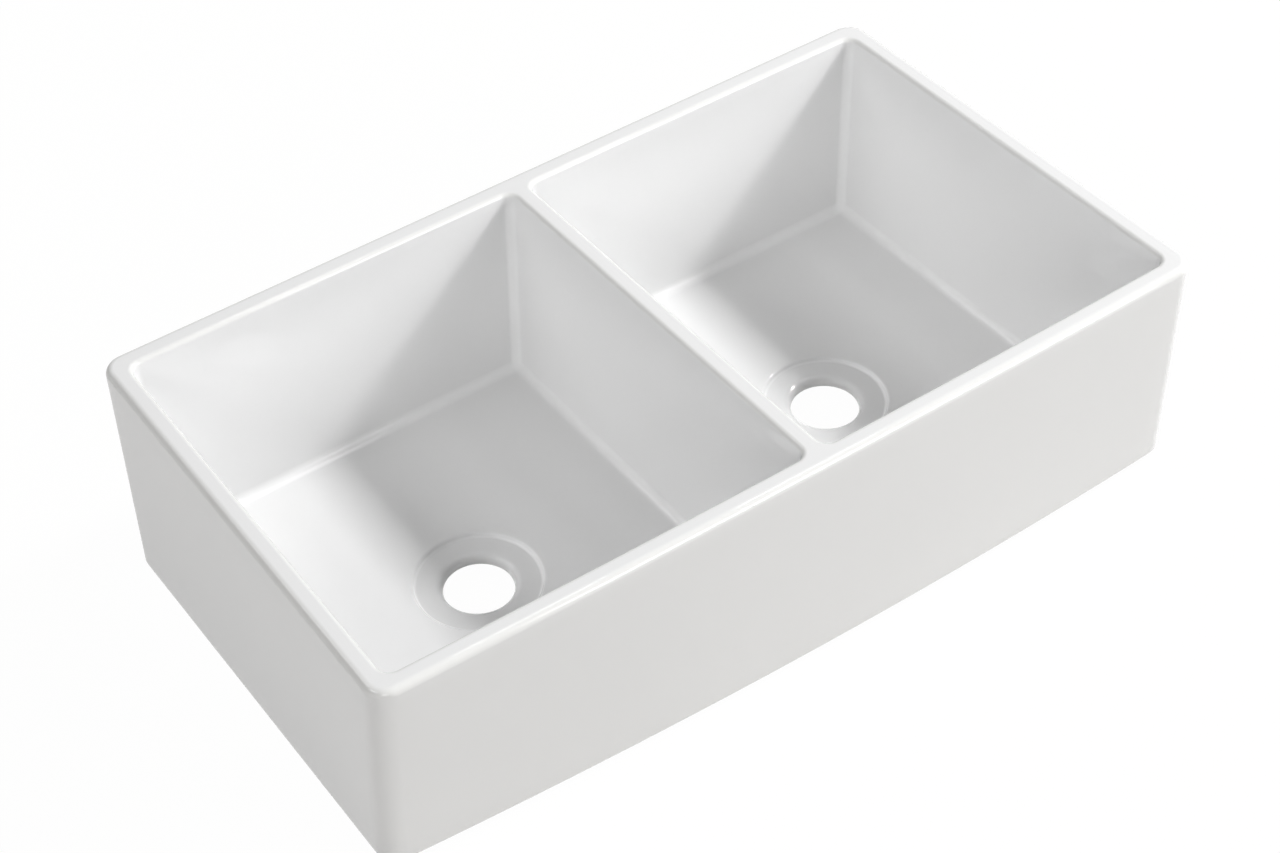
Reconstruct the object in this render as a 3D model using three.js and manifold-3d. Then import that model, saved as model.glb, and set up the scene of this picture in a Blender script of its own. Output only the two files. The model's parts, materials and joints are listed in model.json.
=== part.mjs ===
// Farmhouse apron-front sink with two bowls, made as the real one is: one thick slip-cast
// fireclay body, fired and glazed in one piece, with no loose parts.
//
// Millimetres, +Z up. X runs along the apron, the apron faces -Y, and the origin is the middle
// of the base, on the surface that the sink stands on.
//
// The body is an outer loft less one hollow for each bowl. A hollow is a single loft too: it
// follows the glaze from the rounded rim down the drafted walls, round the floor fillet, down
// the fall of the floor, through the drain and out of the pocket under the base.

import * as THREE from "three";
import { mergeVertices, toCreasedNormals } from "three/addons/utils/BufferGeometryUtils.js";
import Module from "manifold-3d";

// ---- Driving dimensions ----

// Outside, over the widest section, which lies just under the rounded edge of the rim.
const LENGTH = 838.2; // 33 in along the apron
const DEPTH = 474; // back to the middle of the apron
const HEIGHT = 228.6; // 9 in from base to rim
const APRON_BOW_AT_RIM = 4; // the middle of the apron stands this far in front of its ends
const APRON_BOW_AT_FOOT = 14;
const APRON_TWIST = 7; // kiln warp: the apron's foot is this far back at its left end, and this
// far forward at its right end, and the twist fades out up to the rim
const LEFT_END_TURN = 5; // kiln warp: the back of the rim's left end is drawn in by this much,
// which fades out to the front, to the middle of the sink and down to the foot
const FACE_DRAFT = 13; // the back and the apron's ends lean in by this much from rim to foot
const CORNER_RADIUS = 20; // upright outer corners
const RIM_OUTER_ROLL = 7; // rounded outer edge of the rim
const FOOT_ROLL = 10; // rounded edge round the base

// Walls, measured at the rim before its edges are rounded.
const END_WALL = 20;
const BACK_WALL = 21;
const APRON_WALL = 19;
const DIVIDER_WALL = 18;
const DIVIDER_X = 10; // the divider sits right of the middle, so the left bowl is the longer

// Bowls.
const FLOOR_HEIGHT = 27; // floor above the base, beside the walls
const FLOOR_FALL = 2; // further fall of the floor to its drain
const BOWL_DRAFT_X = 11.5; // each end wall leans in by this much from rim to floor
const BOWL_DRAFT_Y = 9; // and each long wall by this much
const BOWL_CORNER_RADIUS = 11;
const RIM_INNER_ROLL = 4.5; // rounded inner edge of the rim
const FLOOR_FILLET = 9; // cove between floor and walls

// Drains. The recess takes the 114 mm flange of a basket strainer.
const DRAIN_SPACING = 391; // between the two drain axes, even about the middle of the sink
const DRAIN_Y = -6.5;
const RECESS_RADIUS = 61; // where the floor starts to roll down into the recess
const RECESS_DEPTH = 4; // from the floor beside it down to the seat
const RECESS_ROLL = 3; // rounded lip and rounded foot of the recess step
const RECESS_SLOPE = 60; // steepest slope of that step, in degrees
const BORE_RADIUS = 32;
const BORE_ROLL = 8; // rounded edge from the seat into the bore
const LEDGE_THICKNESS = 10; // seat to underside, where the strainer clamps
const LEDGE_EDGE = 1.5; // rounded lower edge of the bore
const POCKET_RADIUS = 55; // pocket in the base that the strainer's nut goes up into
const POCKET_FILLET = 4;
const POCKET_EDGE = 2; // rounded edge where the pocket opens in the base

// Facets.
const OUTER_STEPS = { corner: 6, side: 12 }; // segments in each corner and along each side
const HOLLOW_STEPS = { corner: 6, side: 6 };
const ROLL_STEPS = 4; // segments across a rounded edge
const FILLET_STEPS = 5; // segments across a fillet
const CUT_PAST = 5; // how far a hollow's cutter runs past the rim and past the base
const CREASE_ANGLE = THREE.MathUtils.degToRad(35);

const GLAZE = { color: 0xf3f4f3, roughness: 0.1, metalness: 0 };

// ---- Outlines: level rings of points, anticlockwise seen from above ----
//
// Every outline is a rounded rectangle with a warp: how far the apron bows and twists forward,
// and how far the left end is turned in at its back.

const { cos, sin, tan, PI } = Math;
const QUARTER = PI / 2;

// How far the apron stands forward at x: its bow is a parabola and its twist a slope.
function apronForward(x, { bow, twist }) {
  const along = 2 * x / LENGTH;
  return bow * (1 - along ** 2) + twist * along;
}

// How far the back of the outline is drawn in at x: all of the turn at the left end, and none of
// it past the middle.
function leftEndIn(x, { turn }) {
  return turn * Math.max(0, -2 * x / LENGTH);
}

// `box` has the left, right, front and back that the rectangle would have with no warp. The
// apron's share of the warp fades out from front to back, and the left end's from back to front.
function warpedRectangle(box, radius, warp, z, steps) {
  const corners = [
    { x: box.right - radius, y: box.front + radius, start: -QUARTER },
    { x: box.right - radius, y: box.back - radius, start: 0 },
    { x: box.left + radius, y: box.back - radius, start: QUARTER },
    { x: box.left + radius, y: box.front + radius, start: 2 * QUARTER },
  ];
  const onCorner = (corner, share) => {
    const angle = corner.start + QUARTER * share;
    return new THREE.Vector2(corner.x + radius * cos(angle), corner.y + radius * sin(angle));
  };
  return corners.flatMap((corner, index) => {
    const arc = Array.from({ length: steps.corner }, (_, i) => onCorner(corner, i / steps.corner));
    const from = onCorner(corner, 1);
    const to = onCorner(corners[(index + 1) % corners.length], 0);
    const side = Array.from({ length: steps.side }, (_, i) => from.clone().lerp(to, i / steps.side));
    return [...arc, ...side];
  }).map(({ x, y }) => {
    const forward = (box.back - y) / (box.back - box.front);
    const warpedX = x + (1 - forward) * leftEndIn(x, warp);
    const warpedY = y - forward * apronForward(x, warp);
    return new THREE.Vector3(warpedX, warpedY, z);
  });
}

// A circle with as many points as a rounded rectangle of the same steps, turned so that a ring
// of one joins a ring of the other without a twist.
function circle(centre, radius, z, steps) {
  const quarterSteps = steps.corner + steps.side;
  const step = QUARTER / quarterSteps;
  const start = -QUARTER / 2 - step * steps.corner / 2;
  return Array.from({ length: 4 * quarterSteps }, (_, i) => new THREE.Vector3(
    centre.x + radius * cos(start + i * step),
    centre.y + radius * sin(start + i * step),
    z,
  ));
}

// Shares from 0 to 1 with the two ends left in: the steps across an arc.
function shares(steps) {
  return Array.from({ length: steps + 1 }, (_, i) => i / steps);
}

// ---- Lofts and solids ----

// A closed surface through rings of equal count, from the lowest ring to the highest.
function loft(rings) {
  const count = rings[0].length;
  const points = rings.flat();
  const faces = [];
  for (let level = 0; level + 1 < rings.length; level++) {
    const low = level * count;
    for (let i = 0; i < count; i++) {
      const next = (i + 1) % count;
      faces.push(low + i, low + next, low + count + next);
      faces.push(low + i, low + count + next, low + count + i);
    }
  }
  const middle = (ring) => ring.reduce((sum, p) => sum.add(p), new THREE.Vector3()).divideScalar(count);
  const top = (rings.length - 1) * count;
  const foot = points.push(middle(rings[0])) - 1;
  const head = points.push(middle(rings[rings.length - 1])) - 1;
  for (let i = 0; i < count; i++) {
    const next = (i + 1) % count;
    faces.push(foot, next, i);
    faces.push(head, top + i, top + next);
  }
  const geometry = new THREE.BufferGeometry().setFromPoints(points);
  geometry.setIndex(faces);
  return geometry;
}

const wasm = await Module();
wasm.setup();

function solidFrom(geometry) {
  const bare = geometry.clone();
  bare.deleteAttribute("normal");
  bare.deleteAttribute("uv");
  const merged = mergeVertices(bare);
  return new wasm.Manifold(new wasm.Mesh({
    numProp: 3,
    vertProperties: merged.getAttribute("position").array,
    triVerts: new Uint32Array(merged.index.array),
  }));
}

function geometryFrom(solid) {
  const mesh = solid.getMesh();
  const geometry = new THREE.BufferGeometry();
  geometry.setAttribute("position", new THREE.BufferAttribute(mesh.vertProperties, mesh.numProp));
  geometry.setIndex(new THREE.BufferAttribute(mesh.triVerts, 1));
  return toCreasedNormals(geometry, CREASE_ANGLE);
}

// ---- The outside ----

const BACK_Y = DEPTH / 2;
const APRON_END_Y = APRON_BOW_AT_RIM - DEPTH / 2; // the apron at its two ends, at the rim
const WIDEST_Z = HEIGHT - RIM_OUTER_ROLL;

// The outline at a height, drawn in by `inset` all round.
function outsideRing(z, inset) {
  const lean = THREE.MathUtils.clamp((WIDEST_Z - z) / WIDEST_Z, 0, 1);
  const box = {
    left: -LENGTH / 2 + inset,
    right: LENGTH / 2 - inset,
    front: APRON_END_Y + FACE_DRAFT * lean + inset,
    back: BACK_Y - FACE_DRAFT * lean - inset,
  };
  const warp = {
    bow: THREE.MathUtils.lerp(APRON_BOW_AT_RIM, APRON_BOW_AT_FOOT, lean),
    twist: APRON_TWIST * lean,
    turn: LEFT_END_TURN * (1 - lean),
  };
  return warpedRectangle(box, CORNER_RADIUS - inset, warp, z, OUTER_STEPS);
}

function outsideLoft() {
  const foot = shares(ROLL_STEPS).map((share) => outsideRing(
    FOOT_ROLL * (1 - sin(QUARTER * share)),
    FOOT_ROLL * (1 - cos(QUARTER * share)),
  )).reverse();
  const rim = shares(ROLL_STEPS).map((share) => outsideRing(
    HEIGHT - RIM_OUTER_ROLL * (1 - sin(QUARTER * share)),
    RIM_OUTER_ROLL * (1 - cos(QUARTER * share)),
  ));
  return loft([...foot, ...rim]);
}

// ---- A bowl with its drain: everything that the body is open to on one side of the divider ----

const BOWLS = [
  {
    left: -LENGTH / 2 + END_WALL,
    right: DIVIDER_X - DIVIDER_WALL / 2,
    drain: new THREE.Vector2(-DRAIN_SPACING / 2, DRAIN_Y),
  },
  {
    left: DIVIDER_X + DIVIDER_WALL / 2,
    right: LENGTH / 2 - END_WALL,
    drain: new THREE.Vector2(DRAIN_SPACING / 2, DRAIN_Y),
  },
];

// The bowl's outline at a height, grown by `grow` all round. It has the outside's warp at the rim
// and none at the floor.
function bowlRing(bowl, z, grow) {
  const sunk = THREE.MathUtils.clamp((HEIGHT - z) / (HEIGHT - FLOOR_HEIGHT), 0, 1);
  const box = {
    left: bowl.left + BOWL_DRAFT_X * sunk - grow,
    right: bowl.right - BOWL_DRAFT_X * sunk + grow,
    front: APRON_END_Y + APRON_WALL + BOWL_DRAFT_Y * sunk - grow,
    back: BACK_Y - BACK_WALL - BOWL_DRAFT_Y * sunk + grow,
  };
  const warp = { bow: APRON_BOW_AT_RIM * (1 - sunk), twist: 0, turn: LEFT_END_TURN * (1 - sunk) };
  return warpedRectangle(box, BOWL_CORNER_RADIUS + grow, warp, z, HOLLOW_STEPS);
}

function bowlRings(bowl) {
  const rim = shares(ROLL_STEPS).map((share) => bowlRing(
    bowl,
    HEIGHT - RIM_INNER_ROLL * (1 - cos(QUARTER * share)),
    RIM_INNER_ROLL * (1 - sin(QUARTER * share)),
  ));
  const cove = shares(FILLET_STEPS).map((share) => bowlRing(
    bowl,
    FLOOR_HEIGHT + FLOOR_FILLET * (1 - sin(QUARTER * share)),
    -FLOOR_FILLET * (1 - cos(QUARTER * share)),
  ));
  return [bowlRing(bowl, HEIGHT + CUT_PAST, RIM_INNER_ROLL), ...rim, ...cove];
}

// The drain's half section as [radius, height] from the floor down to the base. Every stretch
// between two arcs is straight.
function drainProfile() {
  const lip = FLOOR_HEIGHT - FLOOR_FALL;
  const seat = lip - RECESS_DEPTH;
  const ledge = seat - LEDGE_THICKNESS;
  const slope = THREE.MathUtils.degToRad(RECESS_SLOPE);
  const rollWidth = RECESS_ROLL * sin(slope);
  const rollDrop = RECESS_ROLL * (1 - cos(slope));
  const stepWidth = 2 * rollWidth + (RECESS_DEPTH - 2 * rollDrop) / tan(slope);
  const seatRadius = RECESS_RADIUS - stepWidth;
  const boreFoot = BORE_RADIUS + LEDGE_EDGE;
  const pocketTop = POCKET_RADIUS - POCKET_FILLET;
  const arc = (steps, point) => shares(steps).map(point);
  return [
    ...arc(3, (share) => [
      RECESS_RADIUS - RECESS_ROLL * sin(slope * share),
      lip - RECESS_ROLL * (1 - cos(slope * share)),
    ]),
    ...arc(3, (share) => [
      seatRadius + RECESS_ROLL * sin(slope * (1 - share)),
      seat + RECESS_ROLL * (1 - cos(slope * (1 - share))),
    ]),
    ...arc(ROLL_STEPS, (share) => [
      BORE_RADIUS + BORE_ROLL * (1 - sin(QUARTER * share)),
      seat - BORE_ROLL * (1 - cos(QUARTER * share)),
    ]),
    ...arc(2, (share) => [
      boreFoot - LEDGE_EDGE * cos(QUARTER * share),
      ledge + LEDGE_EDGE * (1 - sin(QUARTER * share)),
    ]),
    ...arc(3, (share) => [
      pocketTop + POCKET_FILLET * sin(QUARTER * share),
      ledge - POCKET_FILLET * (1 - cos(QUARTER * share)),
    ]),
    ...arc(2, (share) => [
      POCKET_RADIUS + POCKET_EDGE * (1 - cos(QUARTER * share)),
      POCKET_EDGE * (1 - sin(QUARTER * share)),
    ]),
    [POCKET_RADIUS + POCKET_EDGE, -CUT_PAST],
  ];
}

function hollowLoft(bowl) {
  const drain = drainProfile().map(([radius, z]) => circle(bowl.drain, radius, z, HOLLOW_STEPS));
  return loft([...bowlRings(bowl), ...drain].reverse());
}

// ---- The sink ----

const body = BOWLS.reduce(
  (solid, bowl) => solid.subtract(solidFrom(hollowLoft(bowl))),
  solidFrom(outsideLoft()),
);

const sinkBody = new THREE.Mesh(geometryFrom(body), new THREE.MeshStandardMaterial(GLAZE));
sinkBody.name = "sink_body";

const sink = new THREE.Group();
sink.add(sinkBody);

export default sink;
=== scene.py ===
"""A white fireclay apron-front sink with two bowls, finished in glaze and set up in a plain studio.

Metres, +Z up. X runs along the apron, the apron faces -Y and the origin is the middle of the base.
"""

import json
import logging
import math
from collections.abc import Callable
from dataclasses import dataclass
from enum import Enum
from functools import partial
from typing import NamedTuple

import bpy
from mathutils import Matrix, Vector


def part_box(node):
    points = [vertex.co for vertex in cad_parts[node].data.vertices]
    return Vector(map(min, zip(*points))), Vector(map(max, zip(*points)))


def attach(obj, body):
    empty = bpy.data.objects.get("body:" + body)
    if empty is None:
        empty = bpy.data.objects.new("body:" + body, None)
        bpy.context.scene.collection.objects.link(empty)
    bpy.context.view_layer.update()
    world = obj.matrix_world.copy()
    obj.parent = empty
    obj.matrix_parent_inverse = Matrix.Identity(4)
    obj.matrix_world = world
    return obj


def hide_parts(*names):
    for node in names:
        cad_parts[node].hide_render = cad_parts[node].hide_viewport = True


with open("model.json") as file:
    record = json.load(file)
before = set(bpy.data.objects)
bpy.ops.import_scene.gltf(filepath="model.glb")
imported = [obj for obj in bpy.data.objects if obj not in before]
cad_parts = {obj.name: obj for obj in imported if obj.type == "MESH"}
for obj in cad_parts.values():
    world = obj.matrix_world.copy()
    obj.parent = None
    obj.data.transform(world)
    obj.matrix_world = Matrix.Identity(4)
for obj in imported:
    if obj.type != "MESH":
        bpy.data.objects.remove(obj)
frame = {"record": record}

log = logging.getLogger("sink")

MM = 0.001


# ---- Colour, node trees and meshes ----


def linear(sheen: str) -> tuple[float, float, float, float]:
    """Turns an sRGB hex colour into the linear colour that a shader takes.

    Args:
        sheen: the colour as "#RRGGBB".

    Returns:
        Red, green, blue and an alpha of 1.
    """
    channels = [int(sheen[i : i + 2], 16) / 255 for i in (1, 3, 5)]
    red, green, blue = (c / 12.92 if c <= 0.04045 else ((c + 0.055) / 1.055) ** 2.4 for c in channels)
    return red, green, blue, 1.0


# What a node's input takes: a plain value, a socket, or a node that stands for its first live output.
Source = float | str | tuple[float, ...] | bpy.types.Node | bpy.types.NodeSocket


def add_node(
    tree: bpy.types.NodeTree,
    kind: str,
    inputs: dict[str | int, Source | list[Source]] | None = None,
    **settings: str | float | bool,
) -> bpy.types.Node:
    """Adds one node to a tree, with its settings and what goes into it.

    Args:
        tree: the tree that gets the node.
        kind: the node's type.
        inputs: what each input takes, by the input's name or number, as one source or a list.
        settings: the node's own properties.

    Returns:
        The new node.
    """
    node = tree.nodes.new(kind)
    for name, setting in settings.items():
        setattr(node, name, setting)
    for key, sources in (inputs or {}).items():
        named = (s for s in node.inputs if s.enabled and s.name == key)
        into = node.inputs[key] if isinstance(key, int) else next(named)
        for source in sources if isinstance(sources, list) else [sources]:
            if isinstance(source, bpy.types.Node):
                source = next(s for s in source.outputs if s.enabled)
            if isinstance(source, bpy.types.NodeSocket):
                tree.links.new(source, into)
            else:
                into.default_value = source
    return node


@dataclass(frozen=True)
class Recipe:
    """A Geometry Nodes tree with named inputs, which turns an object's mesh into another one."""

    tree: bpy.types.NodeTree

    @staticmethod
    def start(name: str, inputs: dict[str, str]) -> tuple["Recipe", bpy.types.NodeOutputs]:
        """Starts a tree that takes a mesh and some named values, and gives a mesh.

        Args:
            name: the tree's name.
            inputs: each value's name and its kind of socket.

        Returns:
            The recipe, and the sockets that carry its inputs into the tree.
        """
        tree = bpy.data.node_groups.new(name, "GeometryNodeTree")
        for label, kind in {"Mesh": "Geometry", **inputs}.items():
            tree.interface.new_socket(label, in_out="INPUT", socket_type=f"NodeSocket{kind}")
        tree.interface.new_socket("Mesh", in_out="OUTPUT", socket_type="NodeSocketGeometry")
        return Recipe(tree), add_node(tree, "NodeGroupInput").outputs

    def end(self, mesh: Source, material: bpy.types.NodeSocket) -> None:
        """Ends the tree with a plain mesh that has its material.

        Args:
            mesh: the geometry that the tree has made.
            material: the input that carries the material.
        """
        plain = add_node(self.tree, "GeometryNodeRealizeInstances", {"Geometry": mesh})
        glazed = add_node(self.tree, "GeometryNodeSetMaterial", {"Geometry": plain, "Material": material})
        add_node(self.tree, "NodeGroupOutput", {"Mesh": glazed})

    def run(self, piece: bpy.types.Object, values: dict[str, object]) -> None:
        """Runs the tree on an object and keeps the result as the object's own plain mesh.

        Args:
            piece: the object whose mesh goes in, and which gets the result.
            values: what each named input is set to.
        """
        modifier = piece.modifiers.new(self.tree.name, "NODES")
        modifier.node_group = self.tree
        for socket in self.tree.interface.items_tree:
            if socket.in_out == "INPUT" and socket.name in values:
                modifier[socket.identifier] = values[socket.name]
        graph = bpy.context.evaluated_depsgraph_get()
        made = bpy.data.meshes.new_from_object(
            piece.evaluated_get(graph), preserve_all_data_layers=True, depsgraph=graph
        )
        piece.modifiers.remove(modifier)
        piece.data = made


def add_piece(name: str, mesh: bpy.types.Mesh) -> bpy.types.Object:
    """Puts a mesh in the scene as an object at the origin.

    Args:
        name: the object's name.
        mesh: its mesh, already in place.

    Returns:
        The new object.
    """
    piece = bpy.data.objects.new(name, mesh)
    bpy.context.scene.collection.objects.link(piece)
    return piece


# ---- The finish ----


@dataclass(frozen=True)
class GlazedFireclay:
    """Opaque white glaze sprayed on slip-cast fireclay and fired with it.

    The heavy coat of glaze gives a clear, hard gloss with a slow ripple and a faint orange peel. It
    draws thin over the rolled edges, where the buff clay warms it, and pools in the coves, where its
    colour is painted whiter: partly the pooled glaze, partly a painted highlight along the coves and
    corners. The surface that the sink stands on in the kiln is wiped clean, so that bare, grainy clay
    shows under the base.
    """

    glaze: str = "#F6F6F6"
    clouded: str = "#F3F3F3"
    over_edges: str = "#F5F5F3"
    # painted highlight: coves and corners are painted this white, partly for pooled glaze, partly in place
    # of the light lines that gloss shows there
    cove_pool_and_highlight: str = "#FFFFFF"
    bare_clay: str = "#D6CAB4"
    fired_clay: str = "#C9B99F"
    ior: float = 1.5
    gloss: tuple[float, float] = (0.015, 0.03)
    clay_roughness: float = 0.86
    cloud_size: float = 130 * MM  # slow drifts in how thick the spray lies
    ripple_size: float = 45 * MM  # waves in the molten glaze
    ripple_height: float = 0.035 * MM
    peel_size: float = 3.2 * MM  # orange peel
    peel_height: float = 0.0022 * MM
    clay_grain: float = 0.8 * MM  # grog, which the wiping lays bare
    clay_grain_height: float = 0.12 * MM
    fleck_size: float = 2.4 * MM  # darker clay among the buff
    wiped_height: float = 0.9 * MM  # how far up the foot the wiping reaches
    wiped_fade: float = 0.5 * MM
    wiped_wander: float = 1.1 * MM  # how much that height wanders
    sponge_size: float = 14 * MM  # and over what length

    def material(self) -> bpy.types.Material:
        """Makes the finish: glaze all over, and bare clay where the base was wiped.

        Returns:
            The finish as a material.
        """
        material = bpy.data.materials.new("glazed_fireclay")
        material.use_nodes = True
        tree = material.node_tree
        tree.nodes.clear()
        add = partial(add_node, tree)
        place = add("ShaderNodeTexCoord").outputs["Object"]
        bare = self._wiped_foot(tree, place)
        colour = self._colour(tree, place, bare)
        mottle = add("ShaderNodeTexNoise", {"Vector": place, "Scale": 1 / self.ripple_size, "Detail": 3.0})
        gloss = add(
            "ShaderNodeMapRange", {"Value": mottle, "To Min": self.gloss[0], "To Max": self.gloss[1]}
        )
        roughness = add(
            "ShaderNodeMix", {"Factor": bare, "A": gloss, "B": self.clay_roughness}, data_type="FLOAT"
        )
        shader = add(
            "ShaderNodeBsdfPrincipled",
            {
                "Base Color": colour,
                "Roughness": roughness,
                "Normal": self._relief(tree, place, bare),
                "IOR": self.ior,
            },
        )
        add("ShaderNodeOutputMaterial", {"Surface": shader})
        return material

    def _wiped_foot(self, tree: bpy.types.NodeTree, place: bpy.types.NodeSocket) -> bpy.types.Node:
        """Gives 1 on the wiped base and 0 on glaze, with an edge that wanders as a sponge leaves it.

        Args:
            tree: the material's tree.
            place: the point on the object.

        Returns:
            The node whose output is the share of bare clay.
        """
        height = add_node(tree, "ShaderNodeSeparateXYZ", {"Vector": place}).outputs["Z"]
        sponge = add_node(tree, "ShaderNodeTexNoise", {"Vector": place, "Scale": 1 / self.sponge_size})
        wander = add_node(
            tree,
            "ShaderNodeMath",
            {0: sponge, 1: self.wiped_wander, 2: height},
            operation="MULTIPLY_ADD",
        )
        edge = self.wiped_height + self.wiped_wander / 2
        return add_node(
            tree,
            "ShaderNodeMapRange",
            {"Value": wander, "From Min": edge + self.wiped_fade, "From Max": edge},
        )

    def _colour(
        self, tree: bpy.types.NodeTree, place: bpy.types.NodeSocket, bare: bpy.types.Node
    ) -> bpy.types.Node:
        """Gives the glaze's whites, with a painted highlight in the coves, and the clay's two buffs where
        it is bare.

        Args:
            tree: the material's tree.
            place: the point on the object.
            bare: the share of bare clay.

        Returns:
            The node whose output is the colour.
        """
        add = partial(add_node, tree)
        cloud = add("ShaderNodeTexNoise", {"Vector": place, "Scale": 1 / self.cloud_size, "Detail": 4.0})
        body = add(
            "ShaderNodeMix",
            {"Factor": cloud, "A": linear(self.glaze), "B": linear(self.clouded)},
            data_type="RGBA",
        )
        thin = add("ShaderNodeAttribute", attribute_name=THIN_GLAZE).outputs["Fac"]
        drawn = add(
            "ShaderNodeMix", {"Factor": thin, "A": body, "B": linear(self.over_edges)}, data_type="RGBA"
        )
        # Pooled glaze in coves and corners, painted whiter: partly real, partly a painted highlight.
        pool_and_highlight = add("ShaderNodeAttribute", attribute_name=POOLED_GLAZE_AND_HIGHLIGHT).outputs["Fac"]
        glaze = add(
            "ShaderNodeMix", {"Factor": pool_and_highlight, "A": drawn, "B": linear(self.cove_pool_and_highlight)}, data_type="RGBA"
        )
        fleck = add("ShaderNodeTexNoise", {"Vector": place, "Scale": 1 / self.fleck_size, "Detail": 5.0})
        clay = add(
            "ShaderNodeMix",
            {"Factor": fleck, "A": linear(self.bare_clay), "B": linear(self.fired_clay)},
            data_type="RGBA",
        )
        return add("ShaderNodeMix", {"Factor": bare, "A": glaze, "B": clay}, data_type="RGBA")

    def _relief(
        self, tree: bpy.types.NodeTree, place: bpy.types.NodeSocket, bare: bpy.types.Node
    ) -> bpy.types.Node:
        """Stacks the glaze's ripple, its orange peel and the grain of the bare clay.

        Args:
            tree: the material's tree.
            place: the point on the object.
            bare: the share of bare clay.

        Returns:
            The last of the bump nodes.
        """
        glazed = add_node(tree, "ShaderNodeMath", {0: 1.0, 1: bare}, operation="SUBTRACT")
        layers = (
            (self.ripple_size, self.ripple_height, glazed),
            (self.peel_size, self.peel_height, glazed),
            (self.clay_grain, self.clay_grain_height, bare),
        )
        bump = None
        for size, height, share in layers:
            noise = add_node(tree, "ShaderNodeTexNoise", {"Vector": place, "Scale": 1 / size})
            under = {} if bump is None else {"Normal": bump}
            bump = add_node(
                tree, "ShaderNodeBump", {"Height": noise, "Strength": share, "Distance": height, **under}
            )
        return bump


# ---- The sink ----

THIN_GLAZE = "thin_glaze"
POOLED_GLAZE_AND_HIGHLIGHT = "thick_glaze"
CORNER_POOL_AND_HIGHLIGHT = "thick_corners"
ROUNDNESS = "roundness"


class SectionPoint(NamedTuple):
    """One ring of the surface, as one point of its section.

    An outline ring is the sink's or the bowl's outline grown by `offset`, a drain ring is a circle
    of `radius`, and `roundness` blends from the first, at 0, to the second, at 1. Where glaze pools
    and is painted whiter as a painted highlight only round the ring's corners, `thick_corners` says
    by how much.
    """

    height: float
    offset: float = 0.0
    radius: float = 0.0
    roundness: float = 0.0
    thin_glaze: float = 0.0
    # pooled glaze that is also painted whiter, as a painted highlight
    thick_glaze: float = 0.0
    thick_corners: float = 0.0


def quarter_arc(steps: int, point: Callable[[float, float], SectionPoint]) -> list[SectionPoint]:
    """Lays section points round a quarter turn.

    Args:
        steps: how many steps the turn takes.
        point: gives a section point from the cosine and the sine of the angle.

    Returns:
        The points, from the angle 0 to the right angle.
    """
    angles = [math.pi / 2 * step / steps for step in range(steps + 1)]
    return [point(math.cos(angle), math.sin(angle)) for angle in angles]


def between(steps: int, point: Callable[[float], SectionPoint]) -> list[SectionPoint]:
    """Lays section points along a stretch, without its two ends.

    Args:
        steps: how many steps the stretch takes.
        point: gives a section point from the share of the way along.

    Returns:
        The points in order.
    """
    return [point(step / steps) for step in range(1, steps)]


def mix(start: float, end: float, share: float) -> float:
    """Gives the value that lies a share of the way from start to end."""
    return start + (end - start) * share


@dataclass(frozen=True)
class Outline:
    """A level rounded rectangle that leans in on its way down, with the casting's warp.

    Its front follows the apron's bow and twist, and its left end turns in at the back.
    """

    low: Vector  # its corner at the left and front, at the top, with the apron taken as flat
    high: Vector  # its corner at the right and back
    top: float  # the height that the walls lean in from
    foot: float  # and the height that they lean in to
    draft: Vector  # how far each wall leans in over that height
    corner_radius: float
    bow_at_top: float
    bow_at_foot: float
    twist_at_foot: float
    turn_at_top: float
    corner_steps: int
    side_steps: int


class Bowl(Enum):
    """The two bowls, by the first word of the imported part's names for their drains."""

    LEFT = "left"
    RIGHT = "right"


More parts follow.
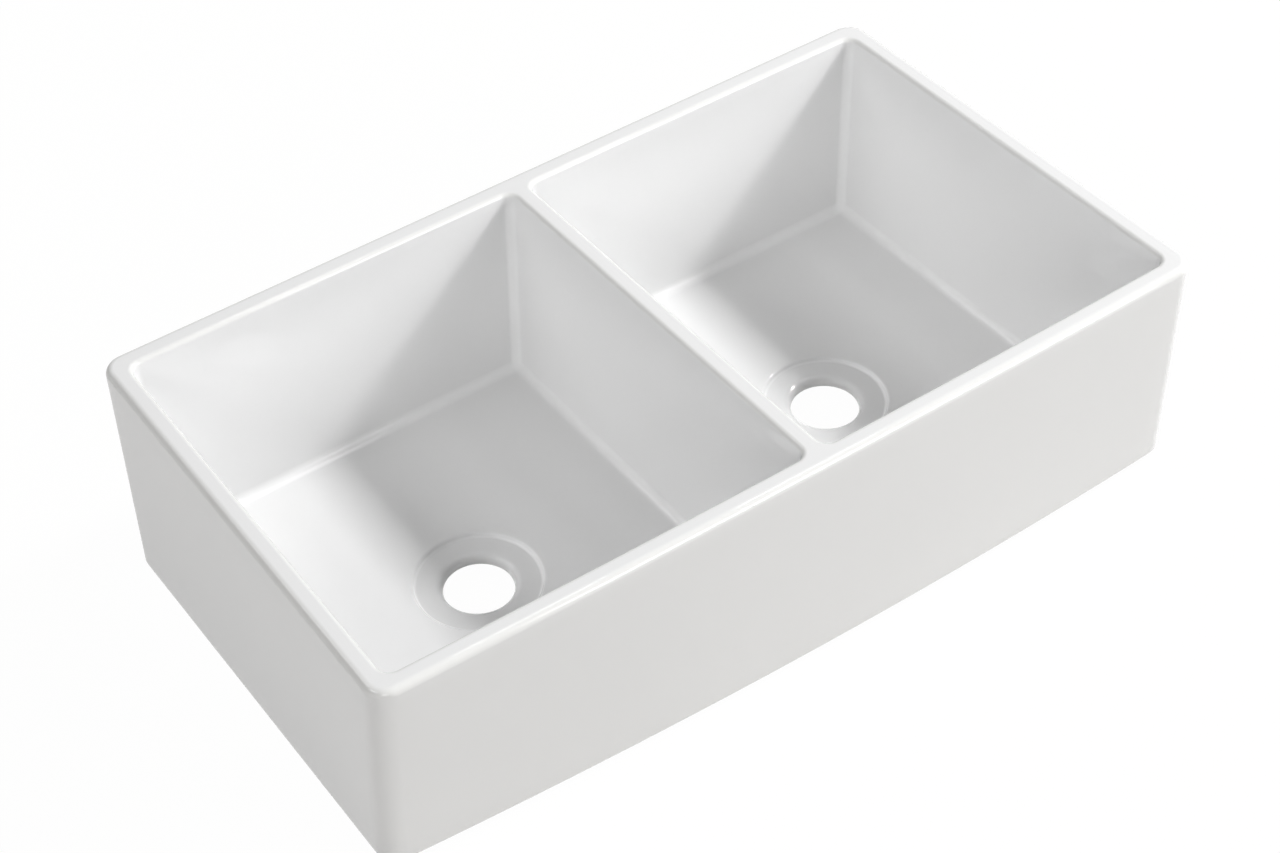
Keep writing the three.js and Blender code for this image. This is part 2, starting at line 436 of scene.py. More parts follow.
@dataclass
class SinkBody:
    """The one fireclay casting: its outside, and for each bowl a hollow with its drain."""

    box: tuple[Vector, Vector]
    record: dict
    slot: str = "white_glaze"

    bow_at_rim: float = 4 * MM
    bow_at_foot: float = 14 * MM
    twist_at_foot: float = 7 * MM
    left_end_turn: float = 5 * MM
    face_draft: float = 13 * MM
    corner_radius: float = 20 * MM
    rim_outer_roll: float = 7 * MM
    foot_roll: float = 10 * MM

    end_wall: float = 20 * MM
    back_wall: float = 21 * MM
    apron_wall: float = 19 * MM
    divider_wall: float = 18 * MM
    divider_x: float = 10 * MM

    floor_height: float = 27 * MM
    floor_fall: float = 2 * MM
    bowl_draft: tuple[float, float] = (11.5 * MM, 9 * MM)
    bowl_corner_radius: float = 11 * MM
    rim_inner_roll: float = 4.5 * MM
    floor_fillet: float = 9 * MM

    recess_radius: float = 61 * MM
    recess_roll: float = 3 * MM
    recess_slope: float = math.radians(60)
    bore_radius: float = 32 * MM
    bore_roll: float = 8 * MM
    ledge_edge: float = 1.5 * MM
    pocket_radius: float = 55 * MM
    pocket_fillet: float = 4 * MM
    pocket_edge: float = 2 * MM

    flat_margin: float = 0.3 * MM  # each loft runs this far on to the flat that closes it
    merge_distance: float = 0.01 * MM
    ripple_depth: float = 0.16 * MM  # how deep the fired walls' slow waves are
    ripple_size: float = 110 * MM
    ripple_seed: float = 7.0
    ripple_start: float = 12 * MM  # the waves fade in over this height from the base and the rim
    pool_and_highlight_edges: tuple[float, float] = (0.12, 0.22)  # where pooled glaze and its painted highlight start in a corner, of 0.25 midway

    # How many steps each stretch of a section takes, and each corner and side of an outline.
    outer_roll_steps: int = 10
    outer_wall_steps: int = 16
    inner_roll_steps: int = 8
    bowl_wall_steps: int = 14
    cove_steps: int = 10
    floor_steps: int = 18
    recess_steps: int = 6
    bore_roll_steps: int = 10
    pocket_fillet_steps: int = 5
    flat_steps: int = 4
    edge_steps: int = 4
    corner_steps: int = 14
    outer_side_steps: int = 44
    bowl_side_steps: int = 26

    def build(self, finish: bpy.types.Material) -> bpy.types.Object:
        """Sweeps the outside and the two hollows, and closes them into one body.

        Args:
            finish: the material that the body gets.

        Returns:
            The finished body, as a plain mesh.
        """
        sweep = self._sweep_recipe()
        lofts = [self._loft(sweep, "outside", self._outside_section(), self._outside(), Vector(), finish)]
        for bowl in Bowl:
            name = f"{bowl.value}_hollow"
            lofts.append(
                self._loft(
                    sweep, name, self._hollow_section(bowl), self._hollow(bowl), self._drain(bowl), finish
                )
            )
        body = self._join("fireclay_body", lofts)
        self._closing_recipe().run(
            body,
            {
                "Rim Height": self.height,
                "Merge Distance": self.merge_distance,
                "Ripple Depth": self.ripple_depth,
                "Ripple Size": self.ripple_size,
                "Ripple Start": self.ripple_start,
                "Seed": self.ripple_seed,
                "Material": finish,
            },
        )
        return body

    def dress(self, body: bpy.types.Object) -> None:
        """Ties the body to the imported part.

        Args:
            body: the finished body.
        """
        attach(body, "root")
        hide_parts("sink_body")

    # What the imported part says.

    @property
    def height(self) -> float:
        """The rim's height above the base."""
        return self.box[1].z

    def _mount_height(self, name: str) -> float:
        """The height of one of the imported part's mounts."""
        return next(mount["pos_m"][2] for mount in self.record["mounts"] if mount["name"] == name)

    def _drain(self, bowl: Bowl) -> Vector:
        """The middle of a drain's bore, seen from above.

        Args:
            bowl: the bowl that the drain is in.

        Returns:
            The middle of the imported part's opening through that bore.
        """
        name = f"{bowl.value}_drain_bore"
        openings = self.record["physics"]["openings"]
        low, high = next(opening["box_m"] for opening in openings if opening["name"] == name)
        return Vector(((low[0] + high[0]) / 2, (low[1] + high[1]) / 2, 0))

    # Outlines and sections.

    def _outside(self) -> Outline:
        """The outside's outline."""
        low, high = self.box
        return Outline(
            low=Vector((low.x, low.y + self.bow_at_rim, 0)),
            high=Vector((high.x, high.y, 0)),
            top=self.height - self.rim_outer_roll,
            foot=0,
            draft=Vector((0, self.face_draft, 0)),
            corner_radius=self.corner_radius,
            bow_at_top=self.bow_at_rim,
            bow_at_foot=self.bow_at_foot,
            twist_at_foot=self.twist_at_foot,
            turn_at_top=self.left_end_turn,
            corner_steps=self.corner_steps,
            side_steps=self.outer_side_steps,
        )

    def _hollow(self, bowl: Bowl) -> Outline:
        """A bowl's outline.

        Args:
            bowl: which of the two.

        Returns:
            The outline, which ends at the divider on one side and at an end wall on the other.
        """
        low, high = self.box
        left, right = {
            Bowl.LEFT: (low.x + self.end_wall, self.divider_x - self.divider_wall / 2),
            Bowl.RIGHT: (self.divider_x + self.divider_wall / 2, high.x - self.end_wall),
        }[bowl]
        return Outline(
            low=Vector((left, low.y + self.bow_at_rim + self.apron_wall, 0)),
            high=Vector((right, high.y - self.back_wall, 0)),
            top=self.height,
            foot=self.floor_height,
            draft=Vector((*self.bowl_draft, 0)),
            corner_radius=self.bowl_corner_radius,
            bow_at_top=self.bow_at_rim,
            bow_at_foot=0,
            twist_at_foot=0,
            turn_at_top=self.left_end_turn,
            corner_steps=self.corner_steps,
            side_steps=self.bowl_side_steps,
        )

    def _outside_section(self) -> list[SectionPoint]:
        """Lays out the outside's section, from the base up to the rim.

        Returns:
            The section's points.
        """
        foot, rim, height = self.foot_roll, self.rim_outer_roll, self.height
        return [
            SectionPoint(0, -foot - self.flat_margin),
            *quarter_arc(
                self.outer_roll_steps,
                lambda c, s: SectionPoint(foot * (1 - c), foot * (s - 1), thin_glaze=2 * c * s),
            ),
            *between(self.outer_wall_steps, lambda share: SectionPoint(mix(foot, height - rim, share))),
            *quarter_arc(
                self.outer_roll_steps,
                lambda c, s: SectionPoint(height - rim * (1 - s), rim * (c - 1), thin_glaze=2 * c * s),
            ),
            SectionPoint(height, -rim - self.flat_margin),
        ]

    def _hollow_section(self, bowl: Bowl) -> list[SectionPoint]:
        """Lays out a hollow's section, from the rim down the wall and through the drain to the base.

        Args:
            bowl: which of the two.

        Returns:
            The section's points.
        """
        rim, cove, height, floor = self.rim_inner_roll, self.floor_fillet, self.height, self.floor_height
        lip = floor - self.floor_fall
        seat = self._mount_height(f"{bowl.value}_drain_seat")
        ledge = self._mount_height(f"{bowl.value}_drain_underside")

        def floor_point(share: float) -> SectionPoint:
            """A point of the floor, which falls evenly from the fillet to the drain."""
            return SectionPoint(mix(floor, lip, share), -cove, self.recess_radius, share)

        return [
            SectionPoint(height, rim + self.flat_margin),
            *quarter_arc(
                self.inner_roll_steps,
                lambda c, s: SectionPoint(height - rim * (1 - c), rim * (1 - s), thin_glaze=2 * c * s),
            ),
            *between(
                self.bowl_wall_steps,
                lambda share: SectionPoint(mix(height - rim, floor + cove, share), thick_corners=1),
            ),
            # The cove, where glaze pools and is painted whiter as a painted highlight.
            *quarter_arc(
                self.cove_steps,
                lambda c, s: SectionPoint(
                    floor + cove * (1 - s), cove * (c - 1), thick_glaze=2 * c * s, thick_corners=c
                ),
            ),
            *between(self.floor_steps, floor_point),
            *self._recess(lip, seat),
            *self._bore(self.recess_radius - self._step_width(lip - seat), seat, ledge),
        ]

    def _step_width(self, drop: float) -> float:
        """How far in towards the drain the recess's rounded step comes over its drop to the seat."""
        roll, slope = self.recess_roll, self.recess_slope
        return 2 * roll * math.sin(slope) + (drop - 2 * roll * (1 - math.cos(slope))) / math.tan(slope)

    def _recess(self, lip: float, seat: float) -> list[SectionPoint]:
        """The step down from the floor to the seat that takes a strainer's flange.

        Args:
            lip: the floor's height at the edge of the recess.
            seat: the seat's height.

        Returns:
            The points of the rounded lip and of the rounded foot of the step.
        """
        roll, steps = self.recess_roll, self.recess_steps
        seat_radius = self.recess_radius - self._step_width(lip - seat)
        angles = [self.recess_slope * step / steps for step in range(steps + 1)]
        rounded_lip = [
            SectionPoint(
                lip - roll * (1 - math.cos(angle)),
                radius=self.recess_radius - roll * math.sin(angle),
                roundness=1,
            )
            for angle in angles
        ]
        # The step's foot is painted whiter too: pooled glaze with a painted highlight.
        rounded_foot = [
            SectionPoint(
                seat + roll * (1 - math.cos(angle)),
                radius=seat_radius + roll * math.sin(angle),
                roundness=1,
                thick_glaze=math.sin(math.pi * angle / self.recess_slope),
            )
            for angle in reversed(angles)
        ]
        return rounded_lip + rounded_foot

    def _bore(self, seat_radius: float, seat: float, ledge: float) -> list[SectionPoint]:
        """The bore through the floor and the pocket under it.

        Args:
            seat_radius: where the flat seat starts, out from the drain's axis.
            seat: the height of the seat round the bore.
            ledge: the height of the underside that the strainer's nut pulls on.

        Returns:
            The points from the seat down to the base.
        """
        bore, roll, edge = self.bore_radius, self.bore_roll, self.ledge_edge
        pocket, fillet, lip = self.pocket_radius, self.pocket_fillet, self.pocket_edge
        flat_steps, edge_steps = self.flat_steps, self.edge_steps

        def ring(height: float, radius: float, thin_glaze: float = 0.0) -> SectionPoint:
            """A point whose ring is a circle round the drain."""
            return SectionPoint(height, radius=radius, roundness=1, thin_glaze=thin_glaze)

        return [
            *between(flat_steps, lambda share: ring(seat, mix(seat_radius, bore + roll, share))),
            *quarter_arc(
                self.bore_roll_steps, lambda c, s: ring(seat - roll * (1 - c), bore + roll * (1 - s))
            ),
            *quarter_arc(
                edge_steps, lambda c, s: ring(ledge + edge * (1 - s), bore + edge * (1 - c), 2 * c * s)
            ),
            *between(flat_steps, lambda share: ring(ledge, mix(bore + edge, pocket - fillet, share))),
            *quarter_arc(
                self.pocket_fillet_steps,
                lambda c, s: ring(ledge - fillet * (1 - c), pocket - fillet * (1 - s)),
            ),
            *quarter_arc(edge_steps, lambda c, s: ring(lip * (1 - s), pocket + lip * (1 - c), 2 * c * s)),
            ring(0, pocket + lip + self.flat_margin),
        ]

    # Geometry.

    def _loft(
        self,
        sweep: Recipe,
        name: str,
        section: list[SectionPoint],
        outline: Outline,
        drain: Vector,
        finish: bpy.types.Material,
    ) -> bpy.types.Object:
        """Sweeps a section round an outline.

        Args:
            sweep: the recipe that does it.
            name: the loft's name.
            section: the section's points, in the order of the rings.
            outline: the outline that the section goes round.
            drain: the middle of the drain rings.
            finish: the material.

        Returns:
            The loft, open at its first and last rings.
        """
        mesh = bpy.data.meshes.new(name)
        mesh.from_pydata([(point.offset, point.radius, point.height) for point in section], [], [])
        for label, values in {
            ROUNDNESS: [point.roundness for point in section],
            THIN_GLAZE: [point.thin_glaze for point in section],
            POOLED_GLAZE_AND_HIGHLIGHT: [point.thick_glaze for point in section],
            CORNER_POOL_AND_HIGHLIGHT: [point.thick_corners for point in section],
        }.items():
            mesh.attributes.new(label, "FLOAT", "POINT").data.foreach_set("value", values)
        loft = add_piece(name, mesh)
        sweep.run(
            loft,
            {
                "Middle": (outline.low + outline.high) / 2,
                "Half Size": (outline.high - outline.low) / 2,
                "Top": outline.top,
                "Foot": outline.foot,
                "Draft": outline.draft,
                "Corner Radius": outline.corner_radius,
                "Bow At Top": outline.bow_at_top,
                "Bow At Foot": outline.bow_at_foot,
                "Twist At Foot": outline.twist_at_foot,
                "Turn At Top": outline.turn_at_top,
                "Half Length": self.box[1].x,
                "Drain": drain,
                "Corner Steps": outline.corner_steps,
                "Side Steps": outline.side_steps,
                "Merge Distance": self.merge_distance,
                "Material": finish,
            },
        )
        return loft

    @staticmethod
    def _join(name: str, parts: list[bpy.types.Object]) -> bpy.types.Object:
        """Joins objects into one.

        Args:
            name: the joined object's name.
            parts: the objects, which are used up.

        Returns:
            The joined object.
        """
        bpy.context.view_layer.update()
        with bpy.context.temp_override(
            active_object=parts[0], selected_objects=parts, selected_editable_objects=parts
        ):
            bpy.ops.object.join()
        parts[0].name = name
        parts[0].data.name = name
        return parts[0]

    def _sweep_recipe(self) -> Recipe:
        """Makes the tree that sweeps a section round an outline.

        A section point's place holds its offset, radius and height. Each becomes a ring of points
        that goes anticlockwise: a corner's arc, then the straight side after it, four times.

        Returns:
            The recipe.
        """
        recipe, inputs = Recipe.start(
            "sweep_section",
            {
                "Middle": "Vector",
                "Half Size": "Vector",
                "Top": "Float",
                "Foot": "Float",
                "Draft": "Vector",
                "Corner Radius": "Float",
                "Bow At Top": "Float",
                "Bow At Foot": "Float",
                "Twist At Foot": "Float",
                "Turn At Top": "Float",
                "Half Length": "Float",
                "Drain": "Vector",
                "Corner Steps": "Int",
                "Side Steps": "Int",
                "Merge Distance": "Float",
                "Material": "Material",
            },
        )
        tree = recipe.tree
        add = partial(add_node, tree)
        quarter_steps = add(
            "ShaderNodeMath",
            {0: inputs["Corner Steps"], 1: inputs["Side Steps"]},
            operation="ADD",
        )
        columns = add("ShaderNodeMath", {0: quarter_steps, 1: 4.0, 2: 1.0}, operation="MULTIPLY_ADD")
        rows = add("GeometryNodeAttributeDomainSize", {"Geometry": inputs["Mesh"]}, component="MESH")
        grid = add("GeometryNodeMeshGrid", {"Vertices X": columns, "Vertices Y": rows})
        index = add("GeometryNodeInputIndex")
        row = add("ShaderNodeMath", {0: index, 1: rows}, operation="MODULO")
        share_of_rows = add("ShaderNodeMath", {0: index, 1: rows}, operation="DIVIDE")
        column = add("ShaderNodeMath", {0: share_of_rows}, operation="FLOOR")

        section = {
            label: add(
                "GeometryNodeSampleIndex",
                {"Geometry": inputs["Mesh"], "Value": value, "Index": row},
                data_type=kind,
                domain="POINT",
            )
            for label, kind, value in (
                ("place", "FLOAT_VECTOR", add("GeometryNodeInputPosition")),
                *(
                    (label, "FLOAT", self._read(tree, label))
                    for label in (ROUNDNESS, THIN_GLAZE, POOLED_GLAZE_AND_HIGHLIGHT, CORNER_POOL_AND_HIGHLIGHT)
                ),
            )
        }
        ring = add("ShaderNodeSeparateXYZ", {"Vector": section["place"]}).outputs
        offset, radius, height = ring["X"], ring["Y"], ring["Z"]
        sunk = add(
            "ShaderNodeMapRange",
            {"Value": height, "From Min": inputs["Top"], "From Max": inputs["Foot"]},
        )

        # Where the column is on the walk: which quarter, then how far round its corner and how far
        # along its side.
        quarters = add("ShaderNodeMath", {0: column, 1: quarter_steps}, operation="DIVIDE")
        quarter = add("ShaderNodeMath", {0: quarters}, operation="FLOOR")
        step = add("ShaderNodeMath", {0: column, 1: quarter_steps}, operation="MODULO")
        round_corner = add(
            "ShaderNodeMapRange", {"Value": step, "From Min": 0.0, "From Max": inputs["Corner Steps"]}
        )
        along_side = add(
            "ShaderNodeMapRange",
            {"Value": step, "From Min": inputs["Corner Steps"], "From Max": quarter_steps},
        )
        corner_angle = add("ShaderNodeMath", {0: quarter, 1: math.pi / 2}, operation="MULTIPLY")
        next_angle = add("ShaderNodeMath", {0: corner_angle, 1: math.pi / 2}, operation="ADD")
        facing_angle = add(
            "ShaderNodeMath",
            {0: round_corner, 1: math.pi / 2, 2: corner_angle},
            operation="MULTIPLY_ADD",
        )
        corner, next_corner, facing = (
            add("ShaderNodeVectorRotate", {"Vector": start, "Angle": angle}, rotation_type="Z_AXIS")
            for start, angle in (
                ((1.0, -1.0, 0.0), corner_angle),
                ((1.0, -1.0, 0.0), next_angle),
                ((0.0, -1.0, 0.0), facing_angle),
            )
        )
        towards = add(
            "ShaderNodeMix",
            {"Factor": along_side, "A": corner, "B": next_corner},
            data_type="VECTOR",
        )

        # The rounded rectangle: out along the arm to the corner arc's middle, then out by its radius.
        lean = add("ShaderNodeVectorMath", {"Vector": inputs["Draft"], "Scale": sunk}, operation="SCALE")
        leaning = add("ShaderNodeVectorMath", {0: inputs["Half Size"], 1: lean}, operation="SUBTRACT")
        arm = add("ShaderNodeVectorMath", {0: leaning, 1: inputs["Corner Radius"]}, operation="SUBTRACT")
        arc_middle = add("ShaderNodeVectorMath", {0: towards, 1: arm}, operation="MULTIPLY")
        grown_radius = add("ShaderNodeMath", {0: inputs["Corner Radius"], 1: offset}, operation="ADD")
        out = add("ShaderNodeVectorMath", {"Vector": facing, "Scale": grown_radius}, operation="SCALE")
        flat_ring = add("ShaderNodeVectorMath", {0: arc_middle, 1: out}, operation="ADD")

        # The apron's bow and twist, which fade out from the front to the back, and the left end's
        # turn, which fades out from the back to the front and to the middle of the sink.
        flat = add("ShaderNodeSeparateXYZ", {"Vector": flat_ring}).outputs
        half_size = add("ShaderNodeSeparateXYZ", {"Vector": leaning}).outputs
        back = add("ShaderNodeMath", {0: half_size["Y"], 1: offset}, operation="ADD")
        front = add("ShaderNodeMath", {0: back, 1: -1.0}, operation="MULTIPLY")
        forward = add("ShaderNodeMapRange", {"Value": flat["Y"], "From Min": back, "From Max": front})
        middle = add("ShaderNodeSeparateXYZ", {"Vector": inputs["Middle"]}).outputs
        x = add("ShaderNodeMath", {0: flat["X"], 1: middle["X"]}, operation="ADD")
        along = add("ShaderNodeMath", {0: x, 1: inputs["Half Length"]}, operation="DIVIDE")
        along_squared = add("ShaderNodeMath", {0: along, 1: 2.0}, operation="POWER")
        arch = add("ShaderNodeMath", {0: 1.0, 1: along_squared}, operation="SUBTRACT")
        bow = add(
            "ShaderNodeMix",
            {"Factor": sunk, "A": inputs["Bow At Top"], "B": inputs["Bow At Foot"]},
            data_type="FLOAT",
        )
        twist = add("ShaderNodeMath", {0: inputs["Twist At Foot"], 1: sunk}, operation="MULTIPLY")
        twisted = add("ShaderNodeMath", {0: twist, 1: along}, operation="MULTIPLY")
        bowed = add("ShaderNodeMath", {0: bow, 1: arch, 2: twisted}, operation="MULTIPLY_ADD")
        moved = add("ShaderNodeMath", {0: bowed, 1: forward}, operation="MULTIPLY")
        back_moved = add("ShaderNodeMath", {0: flat["Y"], 1: moved}, operation="SUBTRACT")
        y = add("ShaderNodeMath", {0: back_moved, 1: middle["Y"]}, operation="ADD")
        risen = add("ShaderNodeMath", {0: 1.0, 1: sunk}, operation="SUBTRACT")
        backward = add("ShaderNodeMath", {0: 1.0, 1: forward}, operation="SUBTRACT")
        leftward = add("ShaderNodeMapRange", {"Value": along, "From Min": 0.0, "From Max": -1.0})
        turn = inputs["Turn At Top"]
        for share in (risen, backward, leftward):
            turn = add("ShaderNodeMath", {0: turn, 1: share}, operation="MULTIPLY")
        turned_x = add("ShaderNodeMath", {0: x, 1: turn}, operation="ADD")
        outline_ring = add("ShaderNodeCombineXYZ", {"X": turned_x, "Y": y, "Z": height})

        # The circle, turned so that its points line up with the outline's.
        half_corner = add("ShaderNodeMath", {0: inputs["Corner Steps"], 1: 0.5}, operation="MULTIPLY")
        from_diagonal = add("ShaderNodeMath", {0: column, 1: half_corner}, operation="SUBTRACT")
        turns = add("ShaderNodeMath", {0: from_diagonal, 1: quarter_steps}, operation="DIVIDE")
        circle_angle = add(
            "ShaderNodeMath",
            {0: turns, 1: math.pi / 2, 2: -math.pi / 4},
            operation="MULTIPLY_ADD",
        )
        spoke = add("ShaderNodeCombineXYZ", {"X": radius, "Z": height})
        circle = add(
            "ShaderNodeVectorRotate", {"Vector": spoke, "Angle": circle_angle}, rotation_type="Z_AXIS"
        )
        drain_ring = add("ShaderNodeVectorMath", {0: circle, 1: inputs["Drain"]}, operation="ADD")

        place = add(
            "ShaderNodeMix",
            {"Factor": section[ROUNDNESS], "A": outline_ring, "B": drain_ring},
            data_type="VECTOR",
        )
        lofted = add("GeometryNodeSetPosition", {"Geometry": grid, "Position": place})

        # Glaze pools along the middle of each of a bowl's upright corners, and is painted whiter there as
        # a painted highlight.
        left_to_turn = add("ShaderNodeMath", {0: 1.0, 1: round_corner}, operation="SUBTRACT")
        mid_corner = add("ShaderNodeMath", {0: round_corner, 1: left_to_turn}, operation="MULTIPLY")
        in_corner = add(
            "ShaderNodeMapRange",
            {
                "Value": mid_corner,
                "From Min": self.pool_and_highlight_edges[0],
                "From Max": self.pool_and_highlight_edges[1],
                "To Max": section[CORNER_POOL_AND_HIGHLIGHT],
            },
        )
        pool_and_highlight = add("ShaderNodeMath", {0: section[POOLED_GLAZE_AND_HIGHLIGHT], 1: in_corner}, operation="MAXIMUM")
        marked = lofted
        for label, value in ((THIN_GLAZE, section[THIN_GLAZE]), (POOLED_GLAZE_AND_HIGHLIGHT, pool_and_highlight)):
            marked = add(
                "GeometryNodeStoreNamedAttribute",
                {"Geometry": marked, "Name": label, "Value": value},
                data_type="FLOAT",
                domain="POINT",
            )
        seamless = add(
            "GeometryNodeMergeByDistance", {"Geometry": marked, "Distance": inputs["Merge Distance"]}
        )
        recipe.end(seamless, inputs["Material"])
        return recipe

    @staticmethod
    def _read(tree: bpy.types.NodeTree, attribute: str) -> bpy.types.Node:
        """Adds the node that reads one of the section's attributes."""
        return add_node(tree, "GeometryNodeInputNamedAttribute", {"Name": attribute}, data_type="FLOAT")

    def _closing_recipe(self) -> Recipe:
        """Makes the tree that closes the lofts with the rim's flat top and with the base.

        The slow waves that firing leaves in the walls and floors come last. They only go inwards,
        and they fade out at the rim and at the base.

        Returns:
            The recipe.
        """
        recipe, inputs = Recipe.start(
            "close_body",
            {
                "Rim Height": "Float",
                "Merge Distance": "Float",
                "Ripple Depth": "Float",
                "Ripple Size": "Float",
                "Ripple Start": "Float",
                "Seed": "Float",
                "Material": "Material",
            },
        )
        tree = recipe.tree
        add = partial(add_node, tree)
        height = add("ShaderNodeSeparateXYZ", {"Vector": add("GeometryNodeInputPosition")}).outputs["Z"]
        half_height = add("ShaderNodeMath", {0: inputs["Rim Height"], 1: 0.5}, operation="MULTIPLY")
        faces_at_edge = add("GeometryNodeInputMeshEdgeNeighbors")
        open_edge = add(
            "FunctionNodeCompare", {"A": faces_at_edge, "B": 1}, data_type="INT", operation="EQUAL"
        )
        flats = []
        for level, side in ((inputs["Rim Height"], "GREATER_THAN"), (0.0, "LESS_THAN")):
            this_end = add(
                "FunctionNodeCompare",
                {"A": height, "B": half_height},
                data_type="FLOAT",
                operation=side,
            )
            loops = add("FunctionNodeBooleanMath", {0: open_edge, 1: this_end}, operation="AND")
            curves = add("GeometryNodeMeshToCurve", {"Mesh": inputs["Mesh"], "Selection": loops})
            filled = add("GeometryNodeFillCurve", {"Curve": curves})
            lift = add("ShaderNodeCombineXYZ", {"Z": level})
            flats.append(add("GeometryNodeTransform", {"Geometry": filled, "Translation": lift}))
        rim, base = flats
        base_down = add("GeometryNodeFlipFaces", {"Mesh": base})
        joined = add("GeometryNodeJoinGeometry", {"Geometry": [inputs["Mesh"], rim, base_down]})
        closed = add(
            "GeometryNodeMergeByDistance", {"Geometry": joined, "Distance": inputs["Merge Distance"]}
        )

        frequency = add("ShaderNodeMath", {0: 1.0, 1: inputs["Ripple Size"]}, operation="DIVIDE")
        waves = add(
            "ShaderNodeTexNoise",
            {"Scale": frequency, "W": inputs["Seed"], "Detail": 1.0},
            noise_dimensions="4D",
        )
        above_base = add("ShaderNodeMapRange", {"Value": height, "From Max": inputs["Ripple Start"]})
        under_rim = add("ShaderNodeMath", {0: inputs["Rim Height"], 1: height}, operation="SUBTRACT")
        below_rim = add("ShaderNodeMapRange", {"Value": under_rim, "From Max": inputs["Ripple Start"]})
        depth = inputs["Ripple Depth"]
        for share in (waves, above_base, below_rim):
            depth = add("ShaderNodeMath", {0: depth, 1: share}, operation="MULTIPLY")
        inwards = add("ShaderNodeMath", {0: depth, 1: -1.0}, operation="MULTIPLY")
        push = add(
            "ShaderNodeVectorMath",
            {"Vector": add("GeometryNodeInputNormal"), "Scale": inwards},
            operation="SCALE",
        )
        rippled = add("GeometryNodeSetPosition", {"Geometry": closed, "Offset": push})
        smooth = add("GeometryNodeSetShadeSmooth", {"Geometry": rippled})
        recipe.end(smooth, inputs["Material"])
        return recipe


# ---- The studio ----


@dataclass(frozen=True)
class StudioFloor:
    """A plain white floor that keeps a faint shadow of the sink."""

    half_width: float = 6.0
    drop: float = 0.1 * MM
    paint: str = "#C6C4C0"
    lit_share: float = 0.04  # how much of what the camera sees of the floor is lit, and not plain white
    white: float = 1.02

    def build(self) -> bpy.types.Object:
        """Makes the floor.

        Returns:
            The floor.
        """
        mesh = bpy.data.meshes.new("studio_floor")
        reach = self.half_width
        corners = [(-reach, -reach), (reach, -reach), (reach, reach), (-reach, reach)]
        mesh.from_pydata([(x, y, -self.drop) for x, y in corners], [], [(0, 1, 2, 3)])
        floor = add_piece("studio_floor", mesh)
        mesh.materials.append(self._material())
        return floor

    def _material(self) -> bpy.types.Material:
        """Makes the paint: matt to the light, and nearly plain white to the eye and in reflections.

        Returns:
            The paint as a material.
        """
        material = bpy.data.materials.new("studio_floor")
        material.use_nodes = True
        tree = material.node_tree
        tree.nodes.clear()
        matt = add_node(tree, "ShaderNodeBsdfDiffuse", {"Color": linear(self.paint)})
        plain = add_node(tree, "ShaderNodeEmission", {"Strength": self.white})
        seen = add_node(tree, "ShaderNodeMixShader", {0: self.lit_share, 1: plain, 2: matt})
        shader = add_node(tree, "ShaderNodeMixShader", {0: seen_directly(tree), 1: matt, 2: seen})
        add_node(tree, "ShaderNodeOutputMaterial", {"Surface": shader})
        return material


def seen_directly(tree: bpy.types.NodeTree) -> bpy.types.Node:
    """Tells what the eye sees, straight on or in gloss or glass, from what only casts light.

    Args:
        tree: the shader tree that asks.

    Returns:
        The node whose output is 1 for camera, glossy and transmission rays.
    """
    rays = add_node(tree, "ShaderNodeLightPath").outputs
    either = add_node(
        tree, "ShaderNodeMath", {0: rays["Is Camera Ray"], 1: rays["Is Glossy Ray"]}, operation="MAXIMUM"
    )
    return add_node(
        tree, "ShaderNodeMath", {0: either, 1: rays["Is Transmission Ray"]}, operation="MAXIMUM"
    )


@dataclass(frozen=True)
class Softbox:
    """A lamp with a flat white face, aimed at the sink."""

    name: str
    azimuth: float  # degrees round from the front of the sink to its right, then its back
    elevation: float
    strength: float  # how bright it makes a white card that faces it, where 1 renders as white
    width: float = 2.2  # its face across, which is level
    height: float = 2.2  # and up and down
    distance: float = 6.0

    def build(self, target: Vector) -> bpy.types.Object:
        """Hangs the lamp.

        Args:
            target: the point that it is aimed at.

        Returns:
            The lamp.
        """
        lamp = bpy.data.lights.new(self.name, "AREA")
        lamp.shape = "RECTANGLE"
        lamp.size = self.width
        lamp.size_y = self.height
        lamp.energy = self.strength * math.pi**2 * self.distance**2
        holder = bpy.data.objects.new(self.name, lamp)
        azimuth, elevation = math.radians(self.azimuth), math.radians(self.elevation)
        level = math.cos(elevation)
        towards = Vector((math.sin(azimuth) * level, -math.cos(azimuth) * level, math.sin(elevation)))
        holder.location = target + towards * self.distance
        holder.rotation_euler = (-towards).to_track_quat("-Z", "Y").to_euler()
        bpy.context.scene.collection.objects.link(holder)
        return holder


@dataclass(frozen=True)
class StudioRoom:
    """Even light from all round, and a white background to the eye."""

    even_light: float = 0.02
    background: float = 1.0

    def build(self) -> None:
        """Makes the world."""
        world = bpy.data.worlds.new("studio_room")
        bpy.context.scene.world = world
        world.use_nodes = True
        tree = world.node_tree
        tree.nodes.clear()
        even = add_node(tree, "ShaderNodeBackground", {"Strength": self.even_light})
        white = add_node(tree, "ShaderNodeBackground", {"Strength": self.background})
        shader = add_node(tree, "ShaderNodeMixShader", {0: seen_directly(tree), 1: even, 2: white})
        add_node(tree, "ShaderNodeOutputWorld", {"Surface": shader})


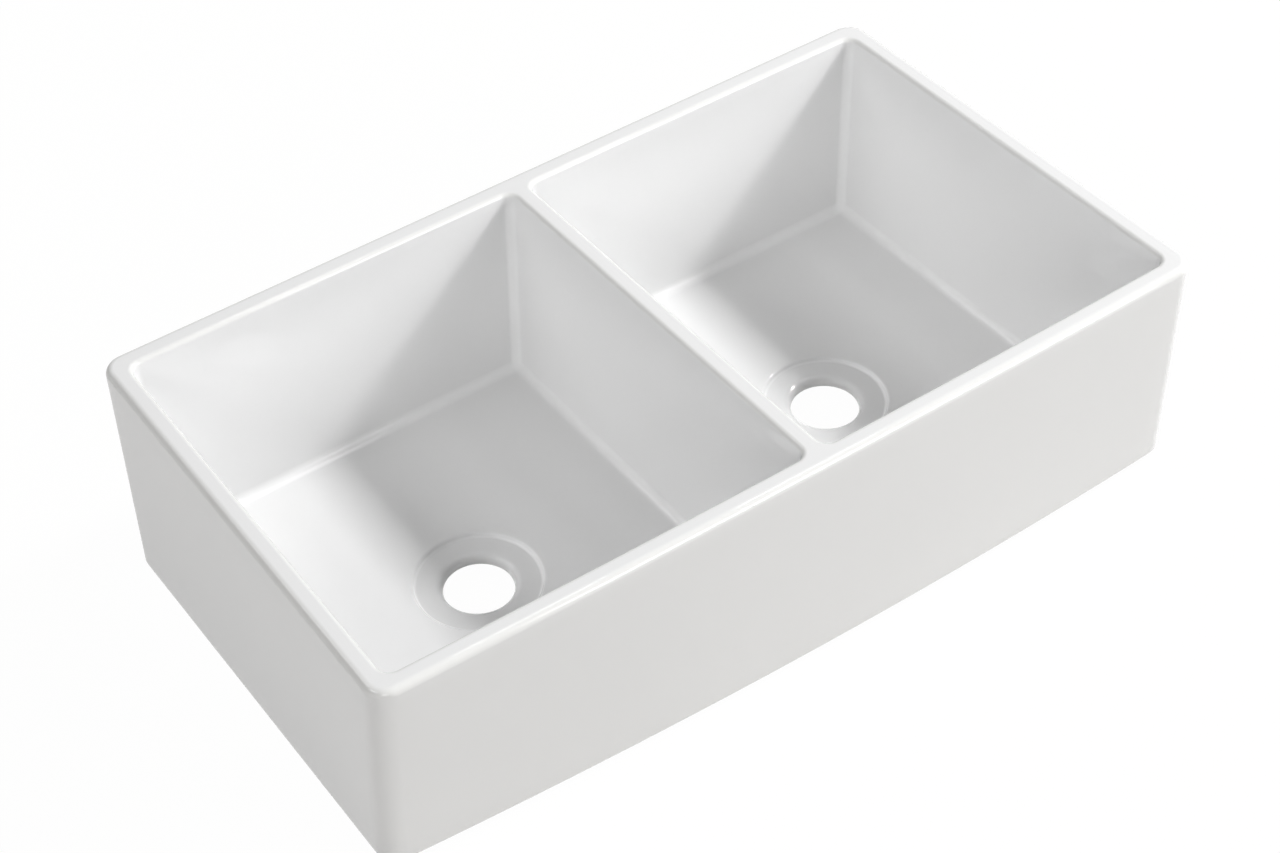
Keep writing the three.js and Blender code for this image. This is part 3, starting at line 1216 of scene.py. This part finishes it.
@dataclass(frozen=True)
class PhotoCamera:
    """The camera, where the photograph was taken from and framed as it was cropped."""

    place: tuple[float, float, float] = (-0.9622, -1.3846, 1.6893)
    azimuth: float = -30.38  # degrees; 0 looks along +Y
    elevation: float = 41.51
    roll: float = -4.60
    focal_length: float = 2579.7  # in pixels
    axis_pixel: tuple[float, float] = (500.0, 350.0)  # the pixel that the lens points at
    frame_size: tuple[int, int] = (1280, 853)
    sensor_width: float = 36.0

    def build(self) -> bpy.types.Object:
        """Makes the camera and gives it to the scene.

        Returns:
            The camera.
        """
        width, height = self.frame_size
        data = bpy.data.cameras.new("photo_camera")
        data.sensor_fit = "HORIZONTAL"
        data.sensor_width = self.sensor_width
        data.lens = self.focal_length / width * self.sensor_width
        data.shift_x = (width / 2 - self.axis_pixel[0]) / width
        data.shift_y = (self.axis_pixel[1] - height / 2) / width
        camera = bpy.data.objects.new("photo_camera", data)
        turn = Matrix.Rotation(math.radians(self.azimuth), 4, "Z")
        tilt = Matrix.Rotation(math.radians(90 - self.elevation), 4, "X")
        level = Matrix.Rotation(math.radians(self.roll), 4, "Z")
        camera.matrix_world = Matrix.Translation(self.place) @ turn @ tilt @ level
        bpy.context.scene.collection.objects.link(camera)
        bpy.context.scene.camera = camera
        return camera


SOFTBOXES = (
    Softbox("key_softbox", 82, 41, 0.75, width=0.7, height=0.7),
    Softbox("right_front_fill", 29, 20, 0.34),
    Softbox("left_front_fill", 325, 22, 0.18),
    Softbox("left_fill", 270, 40, 0.2, width=3.6, height=0.9),
    Softbox("left_back_fill", 225, 45, 0.09),
    Softbox("left_top_light", 80, 77, 0.035, width=0.3, height=0.3, distance=2.5),
    Softbox("right_top_light", 83, 64, 0.035, width=0.3, height=0.3, distance=2.7),
)


def main() -> None:
    """Builds the sink and its studio, and reports each piece."""
    logging.basicConfig(level=logging.INFO, format="%(message)s")
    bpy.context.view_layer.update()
    bpy.context.scene.view_settings.view_transform = "Standard"

    sink = SinkBody(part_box("sink_body"), frame["record"])
    body = sink.build(GlazedFireclay().material())
    sink.dress(body)
    log.info("%s: %d points, %d faces", body.name, len(body.data.vertices), len(body.data.polygons))

    StudioFloor().build()
    StudioRoom().build()
    for softbox in SOFTBOXES:
        softbox.build(Vector((0, 0, sink.height / 2)))
    PhotoCamera().build()
    log.info("floor, room, %d lamps and camera are in place", len(SOFTBOXES))


if __name__ == "__main__":
    main()
